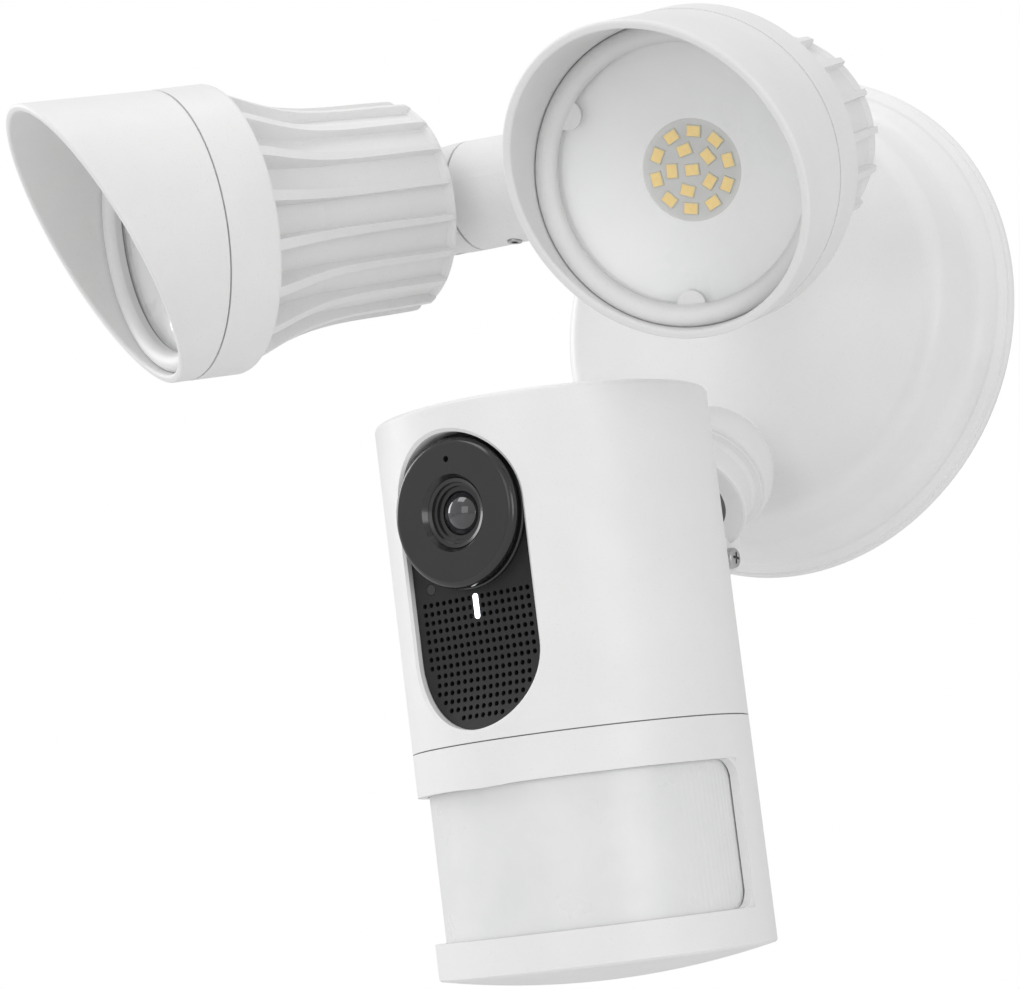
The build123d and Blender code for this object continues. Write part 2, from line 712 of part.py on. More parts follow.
with BuildPart() as stud_screws:
    for i in range(3):
        turn = radians(120 * i)
        at = STEM.origin + STEM.x_dir * (7 * cos(turn)) + STEM.y_dir * (7 * sin(turn))
        seat = Plane(origin=at + STEM.z_dir * (STEM_FLANGE + 2.6), x_dir=STEM.x_dir, z_dir=STEM.z_dir)
        add(screw(seat, 1.2, 2.4, 2.1, 1.3))
save(stud_screws.part, "stud_screws")


WINDOW_BACK = -5.3        # rear ends of the sensor window, from the body axis


# ---------------------------------------------------------------- camera body
def pill(radius):
    """Outline of the black front panel: two arcs and straight sides, drawn on FRONT."""
    mid = -(PILL_TOP_D + PILL_LOW_D) / 2
    with Locations((0, mid)):
        RectangleRounded(2 * radius, PILL_LOW_D - PILL_TOP_D + 2 * radius, radius - 0.001)


def on_shell(edge, radius):
    """True where an edge lies on the body's outside, at that distance from its axis."""
    for where in (0.0, 0.3, 0.6):
        off = edge.position_at(where) - BODY.origin
        off = off - BODY_UP * off.dot(BODY_UP)
        if abs(off.length - radius) > 0.02:
            return False
    return True


def in_front(edge):
    """True where an edge bounds the front pocket, clear of the top and bottom rims."""
    off = edge.position_at(0.5) - BODY.origin
    depth, ahead = -off.dot(BODY_UP), off.dot(BODY_FRONT)
    return ahead > BODY_R / 2 and 4.0 < depth < SEAM_D - 1.0


POCKET_CHAMFER = 0.8
BUTTON_D = 57.5
BUTTON_R = 4.5
BACK = Plane(origin=BODY_TOP, x_dir=-BODY_RIGHT, z_dir=-BODY_FRONT)
SIDE = Plane(origin=BODY_TOP, x_dir=BODY_FRONT, z_dir=-BODY_RIGHT)   # local X forward, Y up
SCREW_TURNS = (60, 180, 300)
SCREW_RING = 35.4
LIP_H = 1.6             # locating lip of the lower shell
POST_H = 6.0            # screw posts in the lower shell
with BuildPart() as upper_shell:
    with BuildSketch(meridian(BODY)):
        with BuildLine():
            e0 = Line((BODY_R, -SEAM_D + SEAM_GAP / 2), (BODY_R, -1.2))
            e1 = TangentArc(e0 @ 1, (BODY_R - 1.2, 0), tangent=e0 % 1)
            TangentArc((0, TOP_CROWN), e1 @ 1, tangent=(1, 0))
            Polyline(
                (0, TOP_CROWN),
                (0, TOP_CROWN - SHELL_WALL),
                (BODY_R / 2, TOP_CROWN * 0.75 - SHELL_WALL),
                (BODY_R - SHELL_WALL, -SHELL_WALL),
                (BODY_R - SHELL_WALL, -SEAM_D + SEAM_GAP / 2),
                (BODY_R, -SEAM_D + SEAM_GAP / 2),
            )
        make_face()
    revolve(axis=axis_of(BODY))
    # pocket wall round the front panel, inside the shell only
    with BuildPart(mode=Mode.PRIVATE) as pocket:
        with BuildSketch(FRONT.offset(PANEL_F - 4.0)):
            pill(PILL_R + 1.9)
        extrude(amount=12)
        with BuildSketch(BODY.offset(-SEAM_D + LIP_H + 0.1)):
            Circle(BODY_R - 0.6)
        extrude(amount=SEAM_D, mode=Mode.INTERSECT)
    add(pocket.part)
    with BuildSketch(FRONT.offset(PANEL_F - 6)):
        pill(PILL_R + 0.15)
    extrude(amount=14, mode=Mode.SUBTRACT)
    mouth = [e for e in edges() if on_shell(e, BODY_R) and in_front(e)]
    chamfer(mouth, POCKET_CHAMFER)
    # slanted boss that takes the stem of the ball stud
    with BuildPart(mode=Mode.PRIVATE) as boss:
        with BuildSketch(STEM.offset(14.5)):
            Circle(8.0)
        with BuildSketch(STEM.offset(STEM_FLANGE)):
            Circle(11.5)
        loft()
    add(boss.part)
    with BuildSketch(STEM.offset(13.0)):
        Circle(STEM_R + 0.1)
    extrude(amount=STEM_FLANGE, mode=Mode.SUBTRACT)
    # hole for the pairing button, and bosses for the screws that join the shells
    with BuildSketch(BACK.offset(20)):
        with Locations((0, -BUTTON_D)):
            Circle(BUTTON_R + 0.3)
    extrude(amount=30, mode=Mode.SUBTRACT)
    for turn in SCREW_TURNS:
        x, y = SCREW_RING * sin(radians(turn)), -SCREW_RING * cos(radians(turn))
        with BuildSketch(BODY.offset(-SEAM_D + LIP_H)):
            with Locations((x, y)):
                Circle(3.6)
        extrude(amount=12)
        with BuildSketch(BODY.offset(-SEAM_D + LIP_H)):
            with Locations((x, y)):
                Circle(1.2)
        extrude(amount=10, mode=Mode.SUBTRACT)
save(upper_shell.part, "upper_shell")

with BuildPart() as lower_shell:
    with BuildSketch(meridian(BODY)):
        with BuildLine():
            top_z, low_z = -SEAM_D - SEAM_GAP / 2, -BODY_D
            inner = BODY_R - SHELL_WALL
            b0 = Polyline(
                (0, low_z - BOTTOM_CROWN + SHELL_WALL),
                (inner - 1.5, low_z + 1.0),
                (inner, low_z + 2.4),
                (inner, top_z - 0.6),
                (inner - 1.8, top_z - 0.6),
                (inner - 1.8, top_z + LIP_H),
                (inner - 0.2, top_z + LIP_H),
                (inner - 0.2, top_z),
                (BODY_R, top_z),
                (BODY_R, low_z + 0.5),
                (BODY_R - 0.5, low_z),
            )
            b1 = TangentArc((0, low_z - BOTTOM_CROWN), b0 @ 1, tangent=(1, 0))
            Line(b1 @ 0, b0 @ 0)
        make_face()
    revolve(axis=axis_of(BODY))
    # window for the motion sensor: the whole front half, with rounded rear corners
    with BuildPart(mode=Mode.PRIVATE) as window:
        with BuildSketch(SIDE):
            with Locations((WINDOW_BACK + 25, -(WINDOW_TOP_D + WINDOW_BOTTOM_D) / 2)):
                Rectangle(50, WINDOW_BOTTOM_D - WINDOW_TOP_D)
            fillet(vertices().group_by(Axis(BODY_TOP, BODY_FRONT))[0], 5.5)
        extrude(amount=50, both=True)
    add(window.part, mode=Mode.SUBTRACT)
    for turn in SCREW_TURNS:
        x, y = SCREW_RING * sin(radians(turn)), -SCREW_RING * cos(radians(turn))
        with BuildSketch(BODY.offset(-SEAM_D - SEAM_GAP / 2)):
            with Locations((x, y)):
                Circle(3.6)
                Circle(1.6, mode=Mode.SUBTRACT)
        extrude(amount=-POST_H)
save(lower_shell.part, "lower_shell")

with BuildPart() as shell_seal:
    with BuildSketch(BODY.offset(-SEAM_D - SEAM_GAP / 2)):
        Circle(BODY_R - 0.7)
        Circle(BODY_R - SHELL_WALL + 0.05, mode=Mode.SUBTRACT)
    extrude(amount=SEAM_GAP)
save(shell_seal.part, "shell_seal")

with BuildPart() as shell_screws:
    for turn in SCREW_TURNS:
        x, y = SCREW_RING * sin(radians(turn)), -SCREW_RING * cos(radians(turn))
        at = BODY.origin + BODY.x_dir * x + BODY.y_dir * y - BODY.z_dir * (SEAM_D + SEAM_GAP / 2 + POST_H)
        add(screw(Plane(origin=at, x_dir=BODY.x_dir, z_dir=-BODY.z_dir), 1.15, 16.0, 2.6, 1.6))
save(shell_screws.part, "shell_screws")

# ---------------------------------------------------------------- front panel and lens
SENSOR_AT = (-13.1, -42.6)
with BuildPart() as faceplate:
    with BuildSketch(SIDE):
        with BuildLine():
            back = PANEL_F - 2.2
            upper, lower = -PILL_TOP_D, -PILL_LOW_D
            f0 = TangentArc((PANEL_F, lower), (PANEL_TIP_F, lower - PILL_R), tangent=(0, -1))
            Polyline(
                f0 @ 0,
                (PANEL_F, upper + PILL_R),
                (back, upper + PILL_R),
                (back, lower - PILL_R),
                f0 @ 1,
            )
        make_face()
    extrude(amount=PILL_R + 1, both=True)
    with BuildSketch(FRONT.offset(back)):
        pill(PILL_R)
    extrude(amount=PANEL_TIP_F - back + 1, mode=Mode.INTERSECT)
    with BuildSketch(FRONT.offset(back)):
        with Locations((0, -PUCK_D)):
            Circle(PUCK_R - 1.2)
        for row, count in enumerate(GRILLE_ROWS):
            depth = GRILLE_TOP_D + GRILLE_PITCH_Z * row
            for column in range(count):
                x = (column - (count - 1) / 2) * GRILLE_PITCH_X
                if row > 2 or abs(x) > GRILLE_PITCH_X / 2:
                    with Locations((x, -depth)):
                        Circle(GRILLE_HOLE_R)
        with Locations((0, -GRILLE_TOP_D - GRILLE_PITCH_Z)):
            SlotOverall(STATUS_SIZE[1] + 0.1, STATUS_SIZE[0] + 0.1, rotation=90)
        with Locations(SENSOR_AT):
            Circle(1.4)
    extrude(amount=8, mode=Mode.SUBTRACT)
save(faceplate.part, "faceplate")

with BuildPart() as status_light:
    with BuildSketch(FRONT.offset(PANEL_F - 3.3)):
        with Locations((0, -GRILLE_TOP_D - GRILLE_PITCH_Z)):
            SlotOverall(STATUS_SIZE[1], STATUS_SIZE[0], rotation=90)
    extrude(amount=3.45)
save(status_light.part, "status_light")

with BuildPart() as light_sensor:
    with BuildSketch(FRONT.offset(PANEL_F - 3.0)):
        with Locations(SENSOR_AT):
            Circle(1.28)
    extrude(amount=3.0)
save(light_sensor.part, "light_sensor")

EYE = Plane(origin=FRONT.origin - BODY_UP * PUCK_D, x_dir=BODY_RIGHT, z_dir=BODY_FRONT)
EYE_R = 9.25
with BuildPart() as lens_housing:
    with BuildSketch(meridian(EYE)):
        with BuildLine():
            h0 = Polyline(
                (EYE_R - 0.9, PANEL_F - 5.0),
                (PUCK_R - 1.3, PANEL_F - 5.0),
                (PUCK_R - 1.3, PANEL_F + 0.05),
                (PUCK_R + 0.15, PANEL_F + 0.05),
                (PUCK_R + 0.15, PANEL_F + 0.9),
                (PUCK_R - 0.15, PANEL_F + 1.2),
                (PUCK_R - 1.4, PANEL_F + 1.2),
                (PUCK_R - 1.4, PANEL_F + 1.9),
                (PUCK_R - 0.4, PANEL_F + 2.1),
                (PUCK_R, PUCK_F - 1.7),
            )
            h1 = TangentArc(h0 @ 1, (PUCK_R - 1.6, PUCK_F), tangent=(0, 1))
            Polyline(h1 @ 1, (EYE_R, PUCK_F), (EYE_R - 0.9, PUCK_F - 1.3), (EYE_R - 0.9, PANEL_F - 5.0))
        make_face()
    revolve(axis=axis_of(EYE))
    with BuildSketch(EYE.offset(PUCK_F - 1.5)):
        with Locations((0, 12.9)):
            Circle(0.75)
    extrude(amount=3, mode=Mode.SUBTRACT)
save(lens_housing.part, "lens_housing")

LENS_R = 5.2
barrel_r = EYE_R - 1.0
with BuildPart() as lens_barrel:
    add(turned([
        (2.2, 21.0), (barrel_r - 2, 21.0), (barrel_r - 2, 29.0), (barrel_r, 29.0),
        (barrel_r, PUCK_F - 1.2), (7.4, PUCK_F - 1.5), (7.2, PUCK_F - 2.3), (6.5, PUCK_F - 2.4),
        (6.3, PUCK_F - 3.2), (LENS_R + 0.1, PUCK_F - 3.3), (LENS_R + 0.1, PUCK_F - 5.4),
        (3.9, PUCK_F - 5.4), (3.4, 29.0), (2.2, 29.0),
    ], EYE))
save(lens_barrel.part, "lens_barrel")

with BuildPart() as lens_glass:
    with BuildSketch(meridian(EYE)):
        with BuildLine():
            g_top, g_low = PUCK_F - 0.9, PUCK_F - 5.3
            g0 = Polyline((0, g_low), (LENS_R, g_low), (LENS_R, PUCK_F - 3.6))
            g1 = TangentArc((0, g_top), g0 @ 1, tangent=(1, 0))
            Line(g1 @ 0, g0 @ 0)
        make_face()
    revolve(axis=axis_of(EYE))
save(lens_glass.part, "lens_glass")

with BuildPart() as image_sensor_board:
    with BuildSketch(EYE.offset(18.6)):
        RectangleRounded(24, 24, 1.5)
    extrude(amount=1.2)
    with BuildSketch(EYE.offset(19.8)):
        Rectangle(7.5, 6.5)
    extrude(amount=1.1)
save(image_sensor_board.part, "image_sensor_board")

with BuildPart() as speaker:
    voice = Plane(origin=FRONT.origin - BODY_UP * 62.0, x_dir=BODY_RIGHT, z_dir=BODY_FRONT)
    add(turned([
        (0, 20.6), (8.0, 20.6), (8.0, 25.1), (13.5, 27.6), (13.5, 31.0), (12.4, 31.0),
        (11.0, 29.8), (4.0, 28.0), (0, 29.0),
    ], voice))
save(speaker.part, "speaker")

with BuildPart() as main_board:
    with BuildSketch(FRONT.offset(10.0)):
        with Locations((0, -40)):
            RectangleRounded(56, 66, 2)
    extrude(amount=1.6)
    with BuildSketch(FRONT.offset(11.6)):
        with Locations((-12, -30)):
            Rectangle(14, 14)
        with Locations((12, -28)):
            Rectangle(10, 12)
        with Locations((-16, -58)):
            Rectangle(12, 9)
    extrude(amount=1.4)
save(main_board.part, "main_board")

# ---------------------------------------------------------------- motion sensor
with BuildPart() as pir_lens:
    with BuildSketch(BODY.offset(-WINDOW_BOTTOM_D - 1.8)):
        Circle(PIR_R)
        Circle(PIR_R - 1.5, mode=Mode.SUBTRACT)
        with Locations((0, 50 + 8)):
            Rectangle(100, 100, mode=Mode.SUBTRACT)
    extrude(amount=WINDOW_BOTTOM_D - WINDOW_TOP_D + 3.6)
save(pir_lens.part, "pir_lens")

PIR_MID = (WINDOW_TOP_D + WINDOW_BOTTOM_D) / 2
with BuildPart() as pir_board:
    with BuildSketch(FRONT.offset(8.0)):
        with Locations((0, -PIR_MID)):
            RectangleRounded(40, 24, 2)
    extrude(amount=1.6)
save(pir_board.part, "pir_board")

with BuildPart() as pir_sensor:
    eye = Plane(origin=FRONT.origin - BODY_UP * PIR_MID, x_dir=BODY_RIGHT, z_dir=BODY_FRONT)
    with BuildSketch(eye.offset(9.6)):
        Circle(4.6)
    extrude(amount=0.7)
    with BuildSketch(eye.offset(10.3)):
        Circle(4.1)
    extrude(amount=3.6)
    with BuildSketch(eye.offset(13.9)):
        Rectangle(3.8, 2.9)
    extrude(amount=-0.5, mode=Mode.SUBTRACT)
save(pir_sensor.part, "pir_sensor")

# ---------------------------------------------------------------- pairing button
with BuildPart() as pairing_button:
    with BuildSketch(BACK.offset(BODY_R - 5.2)):
        with Locations((0, -BUTTON_D)):
            Circle(BUTTON_R + 0.9)
    extrude(amount=1.2)
    with BuildSketch(BACK.offset(BODY_R - 4.0)):
        with Locations((0, -BUTTON_D)):
            Circle(BUTTON_R)
    extrude(amount=4.6)
save(pairing_button.part, "pairing_button")
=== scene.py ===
"""A security camera with two floodlights: the looks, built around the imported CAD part."""

import math

import bmesh
import bpy
from mathutils import Matrix, Vector


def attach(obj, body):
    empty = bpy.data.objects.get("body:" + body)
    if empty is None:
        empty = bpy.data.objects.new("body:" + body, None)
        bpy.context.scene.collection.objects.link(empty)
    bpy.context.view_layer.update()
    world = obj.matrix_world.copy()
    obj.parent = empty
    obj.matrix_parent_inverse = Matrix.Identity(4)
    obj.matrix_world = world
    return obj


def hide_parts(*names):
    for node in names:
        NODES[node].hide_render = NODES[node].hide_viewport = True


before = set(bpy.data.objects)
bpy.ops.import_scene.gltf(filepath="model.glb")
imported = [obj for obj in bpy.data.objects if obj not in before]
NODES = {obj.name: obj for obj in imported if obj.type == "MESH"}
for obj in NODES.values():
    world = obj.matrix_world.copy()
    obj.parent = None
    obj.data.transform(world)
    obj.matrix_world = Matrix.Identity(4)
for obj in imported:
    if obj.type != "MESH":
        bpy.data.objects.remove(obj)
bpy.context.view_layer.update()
SCENE = bpy.context.scene


WHITE = (1.0, 1.0, 1.0, 1.0)


# ------------------------------------------------------------------ camera
CAMERA_RIGHT = (0.822, 0.569, 0.0)
CAMERA_BACK = (0.559, -0.807, -0.189)      # from the object towards the camera
CAMERA_PLACE = (0.4522, -0.7885, -0.2212)  # metres
FOCAL_LENGTH, SENSOR_WIDTH = 118.4, 36.0   # mm
NEAR_CLIP = 0.02


def add_camera():
    right = Vector(CAMERA_RIGHT).normalized()
    back = Vector(CAMERA_BACK).normalized()
    up = back.cross(right).normalized()
    right = up.cross(back)
    turn = Matrix((right, up, back)).transposed().to_4x4()
    turn.translation = Vector(CAMERA_PLACE)
    data = bpy.data.cameras.new("photo_camera")
    data.lens = FOCAL_LENGTH
    data.sensor_width = SENSOR_WIDTH
    data.clip_start = NEAR_CLIP
    camera = bpy.data.objects.new("photo_camera", data)
    camera.matrix_world = turn
    SCENE.collection.objects.link(camera)
    SCENE.camera = camera


# ------------------------------------------------------------------ materials
class Shader:
    """A node material on Principled, built up a layer at a time."""

    def __init__(self, name, **sockets):
        self.material = bpy.data.materials.new(name)
        self.material.use_nodes = True
        self.tree = self.material.node_tree
        self.bsdf = self.tree.nodes["Principled BSDF"]
        self.place = self.node("ShaderNodeTexCoord").outputs["Object"]
        self.normal = None
        for label, value in sockets.items():
            self.bsdf.inputs[label.replace("_", " ")].default_value = value

    def node(self, kind, **inputs):
        made = self.tree.nodes.new(kind)
        for label, value in inputs.items():
            made.inputs[label.replace("_", " ")].default_value = value
        return made

    def link(self, output, socket):
        self.tree.links.new(output, socket)

    def noise(self, scale, detail=2.0, roughness=0.5, stretch=None):
        made = self.node("ShaderNodeTexNoise", Scale=scale, Detail=detail,
                         Roughness=roughness)
        place = self.place
        if stretch:
            mapping = self.node("ShaderNodeMapping", Scale=stretch)
            self.link(place, mapping.inputs["Vector"])
            place = mapping.outputs["Vector"]
        self.link(place, made.inputs["Vector"])
        return made.outputs["Fac"]

    def span(self, factor, low, high, start=0.3, end=0.7):
        made = self.node("ShaderNodeMapRange", From_Min=start, From_Max=end,
                         To_Min=low, To_Max=high)
        self.link(factor, made.inputs["Value"])
        return made.outputs["Result"]

    def mixed(self, factor, first, second):
        made = self.node("ShaderNodeMix")
        made.data_type = "RGBA"
        for label, value in (("A", first), ("B", second)):
            socket = [s for s in made.inputs if s.name == label and s.type == "RGBA"][0]
            if isinstance(value, tuple):
                socket.default_value = value + (1.0,)
            else:
                self.link(value, socket)
        self.link(factor, made.inputs["Factor"])
        return [s for s in made.outputs if s.type == "RGBA"][0]

    def colour(self, output):
        self.link(output, self.bsdf.inputs["Base Color"])

    def roughness(self, scale, low, high):
        uneven = self.span(self.noise(scale, 3.0), low, high)
        self.link(uneven, self.bsdf.inputs["Roughness"])

    def bump(self, height, depth, strength=1.0):
        made = self.node("ShaderNodeBump", Strength=strength, Distance=depth)
        self.link(height, made.inputs["Height"])
        if self.normal:
            self.link(self.normal, made.inputs["Normal"])
        self.normal = made.outputs["Normal"]
        self.link(self.normal, self.bsdf.inputs["Normal"])


GLOSS_SCALE = 95.0         # size of the patches of uneven gloss
DUST_SCALE = 2400.0        # size of the dark specks
DUST_SPAN = (0.62, 0.75)   # noise between these makes a speck
DUST_SHADE = 0.75          # a speck's colour, as a share of the dark colour


def clouded(name, light, dark, rough, grain=None, grain_depth=0.00002, cloud=28.0, speck=0.0,
            **sockets):
    """A plain material: soft clouds of colour, uneven gloss and a fine surface grain.

    light and dark end the clouds' colour, rough is the least and greatest roughness, grain and
    cloud are noise scales, grain_depth is in metres and speck is how strong the dark specks are.
    """
    made = Shader(name, **sockets)
    clouds = made.span(made.noise(cloud, 4.0, 0.6), 0.0, 1.0)
    tint = made.mixed(clouds, light, dark)
    if speck:
        dust = made.span(made.noise(DUST_SCALE, 2.0), 0.0, speck, *DUST_SPAN)
        tint = made.mixed(dust, tint, tuple(c * DUST_SHADE for c in dark))
    made.colour(tint)
    made.roughness(GLOSS_SCALE, *rough)
    if grain:
        made.bump(made.noise(grain, 3.0, 0.6), grain_depth)
    return made


def clear(name, light, dark, ior):
    """Moulded clear plastic that also lets the light through to what it covers."""
    made = Shader(name, IOR=ior, Transmission_Weight=1.0)
    made.colour(made.mixed(made.span(made.noise(40.0, 3.0), 0.0, 1.0), light, dark))
    made.roughness(120.0, 0.0, 0.04)
    made.bump(made.noise(90.0, 2.0), 0.00003, 0.4)
    path = made.node("ShaderNodeLightPath")
    through = made.node("ShaderNodeBsdfTransparent")
    blend = made.node("ShaderNodeMixShader")
    made.link(path.outputs["Is Shadow Ray"], blend.inputs["Fac"])
    made.link(made.bsdf.outputs["BSDF"], blend.inputs[1])
    made.link(through.outputs["BSDF"], blend.inputs[2])
    output = made.tree.nodes["Material Output"]
    made.link(blend.outputs["Shader"], output.inputs["Surface"])
    return made


def make_materials():
    made = {}

    def keep(shader, slot):
        made[slot] = shader.material

    # moulded white plastic: very fine spark-eroded grain with a faint slow waviness
    white = clouded("white_moulding", (0.86, 0.86, 0.858), (0.825, 0.825, 0.825),
                    (0.34, 0.46), grain=2600.0, grain_depth=0.000012, speck=0.25,
                    Specular_IOR_Level=0.45)
    white.bump(white.noise(46.0, 2.0), 0.00004, 0.5)
    keep(white, "white_plastic")
    # powder-coated die casting: orange peel under the grain
    paint = clouded("white_powder_coat", (0.845, 0.845, 0.842), (0.80, 0.80, 0.80),
                    (0.40, 0.54), grain=1500.0, grain_depth=0.00002, speck=0.35,
                    Specular_IOR_Level=0.4)
    paint.bump(paint.noise(330.0, 2.0), 0.00003, 0.6)
    keep(paint, "white_paint")
    # the reflector's faint white emission is painted light: it glows to look brighter, though it
    # is no lamp
    keep(clouded("satin_reflector_painted_glow", (0.90, 0.90, 0.90), (0.86, 0.86, 0.86), (0.22, 0.34),
                 grain=900.0, grain_depth=0.000015, Emission_Strength=0.22,
                 Emission_Color=WHITE), "reflector_white")
    # the diffuser's faint white emission is painted light: it glows to look brighter, though it
    # is no lamp
    keep(clouded("mottled_diffuser_painted_glow", (0.74, 0.74, 0.73), (0.67, 0.67, 0.66), (0.30, 0.45),
                 grain=1900.0, grain_depth=0.00002, cloud=120.0, Emission_Strength=0.12,
                 Emission_Color=WHITE), "board_white")
    keep(clouded("led_yellow", (0.88, 0.66, 0.27), (0.80, 0.56, 0.19), (0.35, 0.5),
                 grain=5200.0, grain_depth=0.00003, cloud=900.0, Emission_Strength=0.35,
                 Emission_Color=(1.0, 0.72, 0.28, 1.0)), "led_phosphor")
    keep(clouded("led_ceramic", (0.88, 0.84, 0.70), (0.82, 0.78, 0.64), (0.35, 0.5),
                 grain=4200.0, grain_depth=0.00001, cloud=700.0), "led_package")
    keep(clouded("grey_silicone", (0.30, 0.30, 0.30), (0.24, 0.24, 0.24), (0.55, 0.7),
                 grain=1800.0, grain_depth=0.00003), "seal_rubber")

    def metal(name, light, dark, rough, stretch, cloud=300.0):
        """Bare metal with a shallow waviness, drawn out along one axis by stretch."""
        shader = clouded(name, light, dark, rough, cloud=cloud, Metallic=1.0)
        shader.bump(shader.noise(500.0, 4.0, 0.6, stretch), 0.00001)
        return shader

    keep(metal("zinc_screw_steel", (0.58, 0.58, 0.58), (0.42, 0.42, 0.43), (0.28, 0.5),
               (1.0, 6.0, 1.0)), "screw_steel")
    keep(metal("galvanised_sheet", (0.62, 0.63, 0.64), (0.46, 0.47, 0.49), (0.30, 0.5),
               (1.0, 1.0, 1.0), cloud=190.0), "bracket_steel")
    keep(metal("plated_ball", (0.70, 0.70, 0.69), (0.58, 0.58, 0.58), (0.16, 0.3),
               (5.0, 1.0, 1.0)), "ball_metal")
    keep(metal("pressed_can", (0.66, 0.65, 0.62), (0.52, 0.51, 0.49), (0.25, 0.4),
               (1.0, 1.0, 5.0)), "sensor_can")
    keep(clouded("acetal_liner", (0.16, 0.16, 0.16), (0.11, 0.11, 0.11), (0.30, 0.42),
                 grain=1300.0, grain_depth=0.00002), "liner_plastic")
    board = Shader("green_board")
    tracks = board.node("ShaderNodeTexBrick", Scale=210.0, Mortar_Size=0.09, Mortar_Smooth=0.1)
    board.link(board.place, tracks.inputs["Vector"])
    board.colour(board.mixed(tracks.outputs["Fac"], (0.015, 0.10, 0.045), (0.03, 0.19, 0.08)))
    board.roughness(140.0, 0.25, 0.45)
    board.bump(tracks.outputs["Fac"], 0.00004)
    keep(board, "circuit_board")
    keep(clouded("terminal_nylon", (0.30, 0.31, 0.29), (0.24, 0.25, 0.23), (0.4, 0.55),
                 grain=1100.0, grain_depth=0.00003), "terminal_plastic")
    keep(clouded("satin_black", (0.020, 0.020, 0.021), (0.013, 0.013, 0.014), (0.46, 0.6),
                 grain=2900.0, grain_depth=0.00002, Specular_IOR_Level=0.35), "black_panel")
    keep(clouded("gloss_black", (0.018, 0.018, 0.019), (0.012, 0.012, 0.013), (0.16, 0.26),
                 grain=1900.0, grain_depth=0.000004, Specular_IOR_Level=0.5, Coat_Weight=0.35,
                 Coat_Roughness=0.12), "black_gloss")
    keep(clouded("smoked_window", (0.02, 0.018, 0.022), (0.012, 0.012, 0.015), (0.08, 0.16),
                 cloud=300.0, Coat_Weight=0.6), "sensor_window")
    keep(clouded("paper_cone", (0.05, 0.05, 0.05), (0.03, 0.03, 0.03), (0.6, 0.8),
                 grain=900.0, grain_depth=0.0001), "speaker_cone")
    keep(clouded("milky_lens", (0.82, 0.82, 0.82), (0.77, 0.775, 0.78), (0.26, 0.38),
                 grain=700.0, grain_depth=0.00001, cloud=60.0, Coat_Weight=0.15,
                 Coat_Roughness=0.3), "pir_white")
    keep(clouded("lit_guide", (0.95, 0.97, 1.0), (0.88, 0.92, 0.96), (0.3, 0.4),
                 grain=900.0, grain_depth=0.00001, Emission_Strength=2.2,
                 Emission_Color=(0.92, 0.96, 1.0, 1.0)), "light_guide")
    keep(clear("moulded_clear", (0.99, 0.99, 0.99), (0.95, 0.96, 0.96), 1.49), "clear_lens")
    keep(clouded("coated_optic", (0.034, 0.034, 0.040), (0.016, 0.016, 0.019), (0.02, 0.05),
                 cloud=420.0, Coat_Weight=1.0, Coat_Roughness=0.02, Specular_IOR_Level=0.7),
         "lens_glass")
    return made


def dress(materials):
    """Give every CAD node the material of its slot."""
    for item in NODES.values():
        for slot in item.material_slots:
            found = materials.get(slot.material.name)
            if found:
                slot.material = found


# ------------------------------------------------------------------ pieces
MM = 0.001
BODY_TOP = Vector((-1.26, -120.75, -44.73)) * MM    # centre of the camera body's top edge
LEAN_FORWARD, LEAN_SIDE, BODY_TURN = 7.24, 3.46, 3.5     # degrees
BODY_R = 41.1 * MM
# the milky sensor window behind the opening
PIR_R = 38.3 * MM
PIR_WALL = 1.5 * MM
PIR_BACK = 8.0 * MM                     # its two ends lie this far behind the body's axis
PIR_DEPTHS = (89.2 * MM, 128.2 * MM)    # below the top edge, like the depths that follow
PIR_BEVEL = 0.3 * MM
PIR_RIM = 1.0 * MM                      # plain band above and below the flutes
PIR_STEPS = 900
FLUTE_PITCH = 1.55 * MM
FLUTE_DEPTH = 0.006 * MM                # in the middle of the window
FLUTE_END_DEPTH = 0.05 * MM             # added towards its ends
FLUTE_END_TURN, FLUTE_END_BLEND = 64.0, 14.0    # degrees from the front
# the opening in the shell, whose rear corners the webs round
WINDOW_DEPTHS = (91.0 * MM, 126.4 * MM)
WINDOW_BACK = -5.3 * MM
CORNER_R = 5.5 * MM
CORNER_WALL = 2.3 * MM
CORNER_STEPS = 16
# LED packages
CHIP_WALL = 0.20 * MM
CHIP_SINK = 0.06 * MM
CHIP_BEVEL = 0.08 * MM
PAD_GAP = 0.02 * MM
LEFT_BEAM = Vector((-0.46, -0.85, -0.24))    # where each lamp looks, roughly
RIGHT_BEAM = Vector((0.19, -0.91, -0.37))


def body_axes():
    """Right, front and up of the leaning camera body."""
    lean = (math.radians(LEAN_SIDE), math.radians(LEAN_FORWARD))
    up = Vector((-math.tan(lean[0]), -math.tan(lean[1]), 1)).normalized()
    turn = math.radians(BODY_TURN)
    square = Vector((math.cos(turn), -math.sin(turn), 0))
    right = (square - up * up.dot(square)).normalized()
    return right, right.cross(up), up


def join_rings(build, rings):
    """Skin a row of closed rings of vertices, leaving its two ends open."""
    for first, second in zip(rings, rings[1:]):
        for i in range(len(first)):
            j = (i + 1) % len(first)
            build.faces.new((first[i], first[j], second[j], second[i]))


def new_piece(name, build, body, material, smooth=35.0):
    """Make a piece of the mesh, on its body and in its slot; smooth is in degrees."""
    mesh = bpy.data.meshes.new(name)
    bmesh.ops.recalc_face_normals(build, faces=build.faces)
    build.to_mesh(mesh)
    build.free()
    for face in mesh.polygons:
        face.use_smooth = True
    mesh.set_sharp_from_angle(angle=math.radians(smooth))
    piece = bpy.data.objects.new(name, mesh)
    SCENE.collection.objects.link(piece)
    mesh.materials.append(material)
    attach(piece, body)
    return piece


